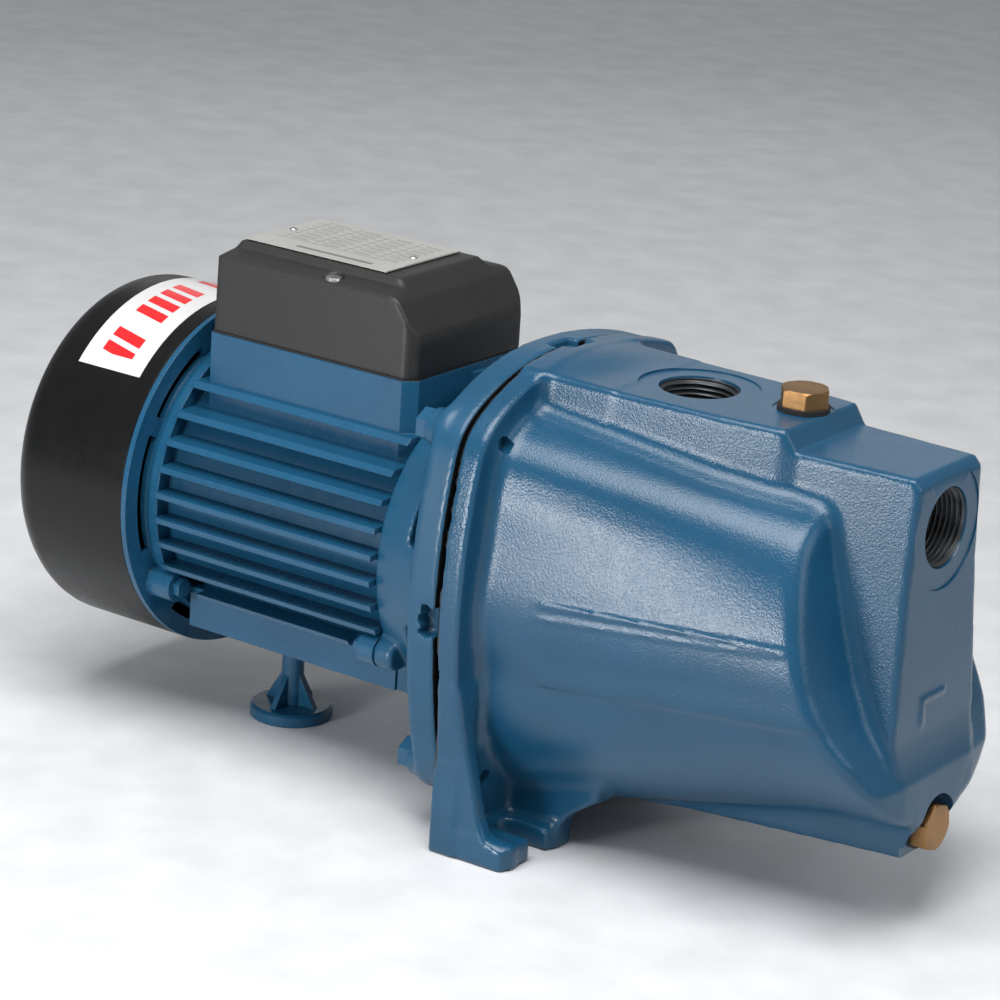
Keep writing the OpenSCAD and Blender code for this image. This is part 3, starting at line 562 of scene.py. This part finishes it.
def casing():
    step, lo, hi = 1.25, (138, -90, -3), (338, 90, 211)
    x, y, z = grid(lo, hi, step)
    ay = np.abs(y)
    block = block_field(x, ay, z)
    # shallow groove beside the foot of the deck
    groove = 0.5 * np.exp(-((block - 7.5) / 2.0) ** 2) * step01((z - 135) / 20) * step01((290 - x) / 10)
    body = smin(barrel_field(x, y, z) + groove, block, 5)
    body = smin(body, casing_flange(x, y, z), 7)
    body = smin(body, crown_field(x, y, z), 1.5)
    body = smin(body, feet_field(x, ay, z), 6)
    body = smax(body, np.maximum(-z, JOINT_X - x), 0.6)
    body = smax(body, -top_recess(y, z, x - 146.5), 0.8)
    # raised bar and short upright cast on the front face
    bars = np.minimum(poly(y, z, [(-12, 101), (7, 101), (7, 99.2), (-12, 99.2)]),
                      poly(y, z, [(-12, 101), (-10, 101), (-10, 90), (-12, 90)]))
    face_x = table(z, [46, 85, 150], [334, 331, 328])
    body = smin(body, np.maximum(bars - 0.4, np.abs(x - face_x) - 0.9), 1.2)
    obj = field_mesh("casing_casting", body, lo, step)
    cuts = [
        lathe("pressure_chamber", [(138, 0), (138, 70.1), (152, 70.1), (152, 66), (262, 61), (276, 52),
                                   (276, 0)]),
        prism("suction_chamber", [(277.5, 92), (298, 92), (298, 189), (277.5, 189)], -21, 21, "xz"),
        # ports: bore for the thread, chamfer and face
        lathe("suction", [(290, 0), (290, 16.7), (326.0, 16.7), (327.41, 17.15), (327.4, 26), (345, 26),
                          (345, 0)], "x", (0, 0, SUCTION_Z)),
        lathe("discharge", [(165, 0), (165, 16.7), (201.2, 16.7), (202.9, 17.15), (202.91, 26),
                            (225, 26), (225, 0)], "z", (DISCHARGE_X, 0, 0)),
        seat_cut(178, 203.0, 225, 13, "z", (PRIMING_X, PRIMING_Y, 0)),
        # the drain's seat stands in a pocket that is open downwards
        prism("pocket", [(328.41, 10), (350, 10), (350, DRAIN_Z), (328.41, DRAIN_Z)],
              -14.5, 14.5, "xz"),
        seat_cut(300, 328.4, 350, 14.5, "x", (0, 0, DRAIN_Z)),
    ]
    for side in (-BOLT_Y, BOLT_Y):
        for up in (-BOLT_UP, BOLT_UP):
            cuts.append(lathe("bolt_hole", [(139, 0), (139, 3.4), (156, 3.4), (156, 0)], "x",
                              (0, side, FLANGE_Z + up), 32))
    return carve(obj, cuts)


def thread(name, start, length, centre, axis):
    """Helical G1 inside thread as a thin sleeve, fading out at both ends."""
    minor, major, pitch, fade_length = 15.2, 16.65, 2.309, 1.5
    n, rows_per_turn = 72, 8
    rows = int(length / pitch * rows_per_turn) + 1
    verts = []
    for i in range(rows + 1):
        along = length * i / rows
        fade = min(1, along / fade_length, (length - along) / fade_length)
        for j in range(n):
            phase = (along / pitch - j / n) % 1.0
            crest = min(1, max(0, abs(phase - 0.5) * 2 * 1.3 - 0.15))
            radius = major - (major - minor) * crest * fade
            turn = 2 * math.pi * j / n
            verts.append((start + along, radius * math.cos(turn), radius * math.sin(turn)))
    faces = [(i * n + j, i * n + (j + 1) % n, (i + 1) * n + (j + 1) % n, (i + 1) * n + j)
             for i in range(rows) for j in range(n)]
    obj = new_object(name, stand_along(axis, centre, verts), faces)
    finish_piece(obj, "pump", M["thread"], angle=60)


# ---------- bracket ----------
def bracket():
    step, lo, hi = 1.25, (88, -90, -1), (149, 90, 211)
    front, bell_end = 93, 127
    x, y, z = grid(lo, hi, step)
    ay = np.abs(y)
    radius = np.hypot(y, z - SHAFT_Z)
    plate = smax(smax(flange_field(y, z, 0.6), 125 - x, 1.6), x - 139.2, 0.7)
    bell = smax(radius - table(x, [93, 126], [66, 75]), span(x, front, bell_end), 1.2)
    rail = smax(poly(y, z, [(-47, 49.6), (47, 49.6), (47, 66), (-47, 66)]),
                span(x, front, bell_end), 1.5)
    body = smin(smin(bell, rail, 3), plate, 5)
    for up in (-BOLT_UP, BOLT_UP):
        boss = smax(np.hypot(ay - BOLT_Y, z - (FLANGE_Z + up)) - 8.5, span(x, 117.5, bell_end), 1.2)
        body = smin(body, boss, 5)
    # lugs for the frame's screws, low at the sides and on top
    lug = smax(np.hypot(ay - 58, z - 71) - 7, span(x, front, 103), 1.2)
    body = smin(body, lug, 3)
    top_lugs = smax(poly(y, z, [(-31, 160), (31, 160), (31, 173), (-31, 173)]),
                    span(x, front, 102), 1.2)
    body = smin(body, top_lugs, 2)
    # hollow bell, with windows at the sides and on top
    hollow = np.maximum(radius - table(x, [102, 126], [60, 68]), span(x, 102, 125))
    body = smax(body, -hollow, 1.2)
    turn = np.arctan2(z - SHAFT_Z, ay)
    for a0, a1 in ((13, 42), (-38, -16), (68, 112)):
        mid, half = math.radians((a0 + a1) / 2), math.radians((a1 - a0) / 2)
        across = np.maximum(np.abs(turn - mid) - half, -1) * 70
        window = smax(across, span(x, 112, 121.5), 3)
        body = smax(body, -np.maximum(window, 50 - radius), 1.5)
    # hub, seal boss, register for the frame and spigot for the casing
    body = smin(body, np.maximum(radius - 28, span(x, front, 113)), 1.5)
    for r, a, b in ((21, 121, 134), (54.6, 90, 94), (69.4, 132, 146)):
        body = np.minimum(body, np.maximum(radius - r, span(x, a, b)))
    body = smax(body, -top_recess(y, z, 134 - x), 0.8)
    # chipped notch in the near edge
    notch = np.abs(z - 102.5) - 6.6 - 0.7 * np.sin(x * 0.9)
    chips = 0.8 * np.sin(z * 0.9) + 0.4 * np.sin(z * 2.1 + x)
    notch = np.maximum(np.maximum(notch, 131.5 + chips - x), y + 78)
    body = smax(body, -notch, 0.5)
    # room for the upper nuts
    body = np.maximum(body, -np.maximum(np.hypot(ay - 24, z - 166.5) - 5, span(x, 102, 107)))
    # hollow in the face behind the impeller
    body = np.maximum(body, -np.maximum(radius - table(x, [136, 139], [56, 60]), 136 - x))
    # shaft bore, bearing seat and seal seat
    for r, a, b in ((10.8, 80, 145), (20.0, 80, 109), (14.6, 129.5, 140)):
        body = np.maximum(body, -np.maximum(radius - r, span(x, a, b)))
    # ring-shaped hollow round the bearing seat
    body = np.maximum(body, -np.maximum(np.maximum(radius - 53, 24 - radius), span(x, 80, 97)))
    return field_mesh("bracket_casting", body, lo, step)


# ---------- terminal box cover ----------
def box_cover():
    step, lo, hi = 0.9, (-25, -46, 184), (94, 46, 231)
    wall, rim_z = 2.4, 188.05
    x, y, z = grid(lo, hi, step)
    ay = np.abs(y)
    side_view = poly(x, z, [(-21, 180), (-20, 222), (-17, 228), (70.5, 228), (80, 220.5), (88.5, 207.5),
                            (90, 203), (90, 180)])
    end_view = poly(ay, z, [(-20, 180), (-20, 228), (28.8, 228), (30.2, 225.6), (31.4, 224.6),
                            (33.5, 224.2), (41.7, 222.3), (42.4, 180)])
    plan = poly(x, ay, [(-21, -20), (-21, 42.4), (84.5, 42.4), (90, 36.9), (90, -20)])
    solid = smax(smax(side_view, plan, 1.6), end_view, 1.8)
    shell = np.maximum(np.maximum(solid, -(solid + wall)), rim_z - z)
    # posts for the two screws, with sunk heads
    off_screw = np.hypot(x - COVER_SCREW_X, ay - COVER_SCREW_Y)
    post = np.maximum(np.maximum(off_screw - 5, solid + 0.5), rim_z - z)
    shell = np.minimum(shell, post)
    shell = smax(shell, -np.maximum(off_screw - 4.7, 222.6 - z), 0.8)
    shell = np.maximum(shell, -(off_screw - 2.3))
    return field_mesh("cover_moulding", shell, lo, step)


# ---------- fan cover ----------
def slot_outline(a, b, z, half):
    """Round-ended slot from a to b across, centred on z."""
    turns = [math.radians(90 + 180 * i / 8) for i in range(9)]
    left = [(a + half + half * math.cos(t), z + half * math.sin(t)) for t in turns]
    right = [(b - half - half * math.cos(t), z - half * math.sin(t)) for t in turns]
    return left + right


def fan_cover():
    edge, wall, front, rear = 14.0, 1.5, -38.3, -106.0
    steps = [math.radians(90 * i / 10) for i in range(11)]

    def corner(r):
        return [(rear + edge - r * math.sin(t), FAN_RADIUS - edge + r * math.cos(t)) for t in steps]

    shell = [(front, FAN_RADIUS)] + corner(edge) + [(rear, 0), (rear + wall, 0)]
    shell += corner(edge - wall)[::-1] + [(front, FAN_RADIUS - wall)]
    obj = lathe("fan_cowl", shell, n=128)
    # rows of slots fill a circle, with a bar left standing in the middle
    circle, pitch, half_slot, half_bar = 56, 7, 1.8, 3
    cuts = []
    for k in range(-7, 8):
        reach = math.sqrt(circle ** 2 - (k * pitch) ** 2) - 2
        for a, b in ((half_bar, reach), (-reach, -half_bar)):
            outline = slot_outline(a, b, SHAFT_Z + k * pitch, half_slot)
            cuts.append(prism("slot", outline, rear - 2, rear + 6, "yz"))
    for turn in (0, 60, -60):
        hole = lathe("screw_hole", [(70, 0), (70, 1.9), (90, 1.9), (90, 0)], "y", (-41, 0, 0), 24)
        hole.location.z = SHAFT_Z * MM
        hole.rotation_euler.x = math.radians(turn)
        cuts.append(hole)
    return carve(obj, cuts)


# ---------- the scene ----------
make_camera()

# the materials go by the names of the CAD's material slots, and the last two are for meshes below
M = {
    "cast_paint": paint("cast_blue", (0.008, 0.064, 0.130), 0.22, (1100, 0.00015, 3), (350, 0.00004),
                        coat=0.15, vary=0.07, wear=0.2, spec=0.4, rough_vary=0.03),
    "frame_paint": paint("frame_blue", (0.010, 0.074, 0.150), 0.28, (240, 0.00003), coat=0.15,
                         coat_rough=0.12, vary=0.07, bevel=0.0006, spec=0.38),
    "black_plastic": paint("black_plastic", (0.014, 0.014, 0.014), 0.5, (900, 0.00006), vary=0.05),
    "black_metal": paint("black_steel", (0.004, 0.0042, 0.0045), 0.33, (120, 0.00003), spec=0.25,
                         bevel=0.0006, coat=0.1),
    "black_rubber": paint("rubber", (0.012, 0.012, 0.012), 0.75, (700, 0.00003), bevel=0.0003),
    "brass": paint("plug_brass", (0.34, 0.19, 0.08), 0.42, (300, 0.00003), metal=1.0, vary=0.18,
                   vary_scale=90, bevel=0.0005),
    "zinc_steel": paint("zinc_steel", (0.62, 0.62, 0.60), 0.32, (400, 0.00002), metal=1.0, vary=0.1,
                        bevel=0.0003),
    "bearing_steel": paint("bright_steel", (0.66, 0.66, 0.66), 0.18, (300, 0.000005), metal=1.0,
                           vary=0.04),
    "lamination": paint("lamination", (0.30, 0.30, 0.31), 0.45, (900, 0.00002), metal=1.0, vary=0.12),
    "cast_aluminium": paint("cast_aluminium", (0.62, 0.62, 0.62), 0.42, (300, 0.00005), metal=1.0,
                            vary=0.1),
    "copper_winding": paint("copper_winding", (0.45, 0.17, 0.06), 0.35, (700, 0.0001), metal=1.0,
                            vary=0.2),
    "sticker": paint("sticker_film", (0.62, 0.62, 0.61), 0.25, (60, 0.00001), vary=0.02, coat=0.3),
    "plate_metal": paint("plate_metal", (0.50, 0.49, 0.465), 0.38, (500, 0.00001), metal=0.5,
                         vary=0.05),
    "pale_plastic": paint("pale_plastic", (0.62, 0.60, 0.52), 0.4, (400, 0.00003), vary=0.05,
                          bevel=0.0003),
    "grey_plastic": paint("grey_plastic", (0.10, 0.10, 0.098), 0.45, (500, 0.00004), bevel=0.0004),
    "carbon": paint("carbon", (0.03, 0.03, 0.032), 0.4, (600, 0.00001), vary=0.05),
    "white_ceramic": paint("white_ceramic", (0.80, 0.79, 0.74), 0.25, (600, 0.000005), vary=0.03),
    "bracket": paint("bracket_blue", (0.011, 0.070, 0.138), 0.33, (300, 0.00006), coat=0.1,
                     coat_rough=0.2, vary=0.07, wear=0.2, spec=0.33),
    "thread": paint("bare_iron", (0.07, 0.075, 0.08), 0.5, (500, 0.00005), metal=0.85, vary=0.35,
                    vary_scale=120),
}
make_stage()
# near-black colour on the flange joint faces: unpainted iron, darkened further as painted shade in the
# gap
for key in ("cast_paint", "bracket"):
    overprint(M[key], joint_face_and_gap_shade, (0.006, 0.007, 0.008))
overprint(M["sticker"], sticker_bars, (0.66, 0.012, 0.016))
overprint(M["plate_metal"], plate_lines, (0.10, 0.11, 0.12))

for sub in frame["record"]["subparts"]:
    node = nodes[sub["node"]]
    node.data.materials.clear()
    node.data.materials.append(M[sub["material_slot"]])
# these were painted together with the frame
for key in ("flange_bolts", "motor_foot", "frame_screws_front", "frame_screws_rear"):
    nodes[key].data.materials[0] = M["frame_paint"]

finish_piece(casing(), "pump", M["cast_paint"], ["pump_body"])
thread("suction_thread", 298, 28.6, (0, 0, SUCTION_Z), "x")
thread("discharge_thread", 176, 26.0, (DISCHARGE_X, 0, 0), "z")
finish_piece(bracket(), "pump", M["bracket"], ["motor_bracket"])
finish_piece(fan_cover(), "pump", M["black_metal"], ["fan_cover"], angle=35)
finish_piece(box_cover(), "pump", M["black_plastic"], ["terminal_cover"])
